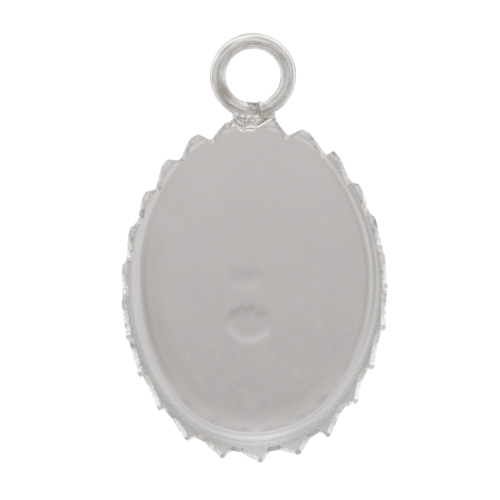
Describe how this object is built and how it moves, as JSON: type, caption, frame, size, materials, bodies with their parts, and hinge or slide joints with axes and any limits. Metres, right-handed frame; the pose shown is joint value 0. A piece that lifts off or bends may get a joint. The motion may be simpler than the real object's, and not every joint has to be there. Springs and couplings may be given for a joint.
{
  "type": "cabochon pendant setting",
  "caption": "Oval bezel cup with a saw-tooth rim that is pressed over a cabochon, and a closed wire ring soldered to one end for hanging.",
  "frame": {"origin": "middle of the cup's flat back face", "axes": "+Z out of the cup's mouth, +Y along the oval towards the hanging ring, +X across the oval"},
  "size_m": [0.0138, 0.0232, 0.0026],
  "materials": {
    "silver": "satin-polished sterling silver"
  },
  "bodies": {
    "root": {"setting": "silver"}
  },
  "joints": []
}
